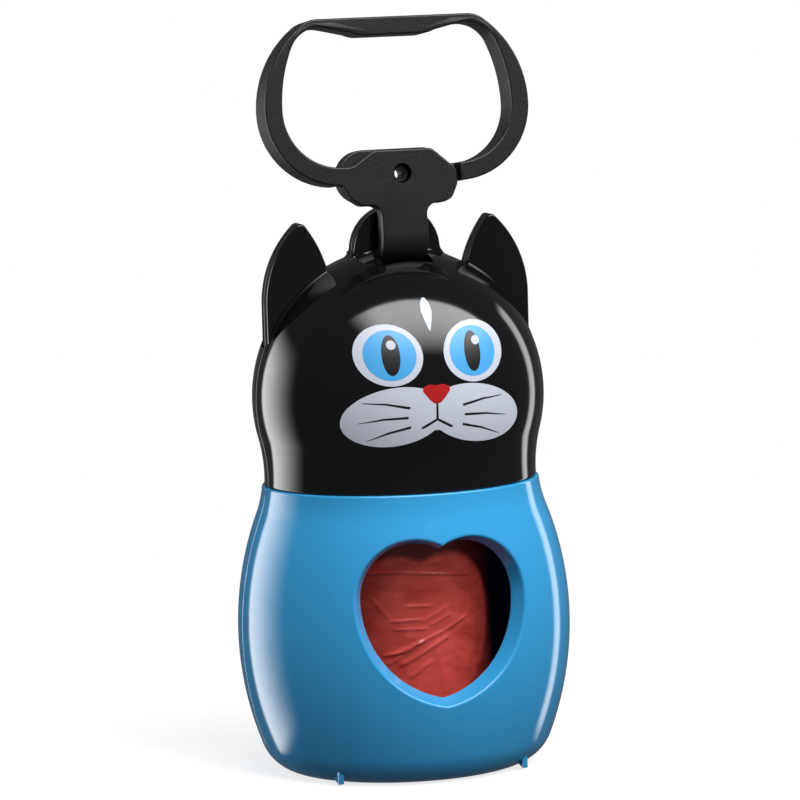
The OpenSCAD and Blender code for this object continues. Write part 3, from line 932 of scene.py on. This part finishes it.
# webs that round the loop's upper corners and draw out the ramps of its grip
web = {"arc": (-12.88, 120.45, 5.5), "from": 159.3, "to": 80, "front": -7.404, "depth": 6.008,
       "round": 0.28, "grip": [(-5.0, 124.31), (-4.8, 125.4)],
       "inside": [(-10.5, 126.95), (-14.5, 126.9), (-15.7, 126.4), (-17.1, 125.15), (-18.0, 124.2), (-19.2, 122.4)]}
webOutline = arc(*web["arc"], web["from"], web["to"], 16) + web["grip"] + web["inside"]
webs = []
for outline in (webOutline, mirrored(webOutline)):
    made = slab("web", outline, web["front"], web["depth"], web["round"], web["round"])
    pickAll(made)
    bpy.ops.transform.rotate(value=math.radians(strap["lean"]), orient_axis="X", center_override=pivot)
    smooth(made)
    webs.append(made)
strapTail = join([strapTail] + webs, "strapTail")

# the neck runs down from the plate and bends back to the pivot bar in one sweep
neck = {"half": 4.005, "front": -7.405, "back": -4.5, "bendY": -2.5, "bendZ": 90.75, "top": 98.5, "end": -0.6}
outR, inR = neck["bendY"] - neck["front"], neck["bendY"] - neck["back"]
side = [(neck["front"], neck["top"])] + arc(neck["bendY"], neck["bendZ"], outR, 180, 270, 14)
side += [(neck["end"], neck["bendZ"] - outR), (neck["end"], neck["bendZ"] - inR)]
side += arc(neck["bendY"], neck["bendZ"], inR, 270, 180, 8) + [(neck["back"], neck["top"])]
neckPiece = ringPiece("neck", [(-neck["half"], y, z) for y, z in clean(side)])
pickAll(neckPiece)
bpy.ops.mesh.edge_face_add()
bpy.ops.mesh.extrude_region_move(TRANSFORM_OT_translate={"value": (2 * neck["half"] * mm, 0, 0)})
outwardNormals(neckPiece)
pick(neckPiece, "EDGE", lambda e: abs(ends(neckPiece, e)[0].x - ends(neckPiece, e)[1].x) < 1e-3)
bpy.ops.mesh.bevel(offset=strap["round"] * mm, segments=3, affect="EDGES")
bpy.ops.mesh.select_all(action="SELECT")
bpy.ops.transform.rotate(value=math.radians(strap["lean"]), orient_axis="X", center_override=pivot)
smooth(neckPiece)
strapPlate = join([strapPlate, neckPiece], "strapPlate")
for piece in (strapPlate, strapTail, hinge):
    dress(piece, strapPlastic)
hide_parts("strap")
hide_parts("strap_tail")
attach(strapPlate, "strap")
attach(strapTail, "strap_tail")
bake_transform(hinge)
print("strap done")


# ---- camera, floor and lamps

def paperMaterial():
    # white paper sweep: lit paper near the object, which runs out into an even white
    material, tree = newMaterial("white paper sweep")
    place = addNode(tree, "ShaderNodeTexCoord")
    away = addNode(tree, "ShaderNodeVectorMath", {"operation": "LENGTH"}, {0: place.outputs["Object"]})
    fade = addNode(tree, "ShaderNodeMapRange", {"From Min": 0.05, "From Max": 0.24}, {"Value": away.outputs["Value"]})
    paper = addNode(tree, "ShaderNodeBsdfDiffuse", {"Color": linear("#9C9C9C")})
    glow = addNode(tree, "ShaderNodeEmission", {"Color": (1, 1, 1, 1), "Strength": 0.75})
    near = addNode(tree, "ShaderNodeAddShader", {}, {0: paper.outputs[0], 1: glow.outputs[0]})
    far = addNode(tree, "ShaderNodeEmission", {"Color": (1, 1, 1, 1), "Strength": 1.0})
    mix = addNode(tree, "ShaderNodeMixShader", {}, {0: fade.outputs[0], 1: near.outputs[0], 2: far.outputs[0]})
    finishMaterial(tree, mix)
    return material


bpy.ops.mesh.primitive_plane_add(size=6)
floor = bpy.context.object
floor.name = "floor"
floor.visible_glossy = False
floor.visible_diffuse = False
dress(floor, paperMaterial())


def lamp(name, place, target, size, power, edges=(0.02, 0.02, 0.02, 0.02), reflected=True):
    # edges: how far the cloth's light fades in from its two ends and its two long sides, as shares of its size
    direction = Vector(target) - Vector(place)
    bpy.ops.object.light_add(type="AREA", location=Vector(place) * mm)
    made = bpy.context.object
    made.name = name
    made.rotation_euler = direction.to_track_quat("-Z", "Y").to_euler()
    made.data.shape = "RECTANGLE"
    made.data.size, made.data.size_y = size[0] * mm, size[1] * mm
    made.data.energy = power
    made.visible_glossy = reflected
    made.data.use_nodes = True
    tree = made.data.node_tree
    tree.nodes.clear()
    cloth = addNode(tree, "ShaderNodeNewGeometry")
    across = addNode(tree, "ShaderNodeSeparateXYZ", {}, {0: cloth.outputs["Parametric"]})
    level = None
    for axis in (0, 1):
        for start, end, edge in ((0, 1, edges[2 * axis]), (1, 0, edges[2 * axis + 1])):
            full = start + (end - start) * edge
            fade = addNode(tree, "ShaderNodeMapRange",
                           {"interpolation_type": "SMOOTHSTEP", "From Min": start, "From Max": full},
                           {"Value": across.outputs[axis]})
            if level:
                fade = addNode(tree, "ShaderNodeMath", {"operation": "MULTIPLY"},
                               {0: level.outputs[0], 1: fade.outputs[0]})
            level = fade
    glow = addNode(tree, "ShaderNodeEmission", {}, {"Strength": level.outputs[0]})
    addNode(tree, "ShaderNodeOutputLight", {}, {"Surface": glow.outputs[0]})


# softboxes that show as reflections: the main one overhead in front, and one at each side
lamp("overhead", (200, -405, 420), (200, -405, 0), (900, 590), 13.0, (0.2, 0.2, 0.88, 0.04))
lamp("sideLeft", (-318, 169, 10), (0, 0, 10), (370, 510), 3.2, (0.12, 0.7, 0.1, 0.3))
lamp("sideRight", (362, 118, 40), (0, 0, 40), (90, 480), 0.45, (0.3, 0.3, 0.1, 0.1))
# a soft lamp in front that only gives light
lamp("front", (120, -560, 330), (0, 0, 40), (90, 90), 1.5, reflected=False)

world = bpy.data.worlds.new("world")
bpy.context.scene.world = world
world.use_nodes = True
tree = world.node_tree
tree.nodes.clear()
rays = addNode(tree, "ShaderNodeLightPath")
lit = addNode(tree, "ShaderNodeBackground", {"Color": linear("#8A8C90"), "Strength": 0.4})
seen = addNode(tree, "ShaderNodeBackground", {"Color": (1, 1, 1, 1), "Strength": 1.0})
mix = addNode(tree, "ShaderNodeMixShader", {},
              {0: rays.outputs["Is Camera Ray"], 1: lit.outputs[0], 2: seen.outputs[0]})
addNode(tree, "ShaderNodeOutputWorld", {}, {"Surface": mix.outputs[0]})

shot = {
    "place": (-238.20, -755.00, 161.60), "lens": 211.4,
    "right": (0.95219793, -0.30429719, -0.02687601),
    "up": (0.06312685, 0.10992561, 0.99193314),
    "back": (-0.29888811, -0.94621329, 0.12388026),
}
bpy.ops.object.camera_add(location=Vector(shot["place"]) * mm)
camera = bpy.context.object
turned = Matrix([shot[key] for key in ("right", "up", "back")]).transposed()
camera.rotation_euler = turned.to_euler()
camera.data.lens = shot["lens"]
camera.data.sensor_width = 36
camera.data.clip_start = 0.01
bpy.context.scene.camera = camera
bpy.context.scene.view_settings.view_transform = "Standard"
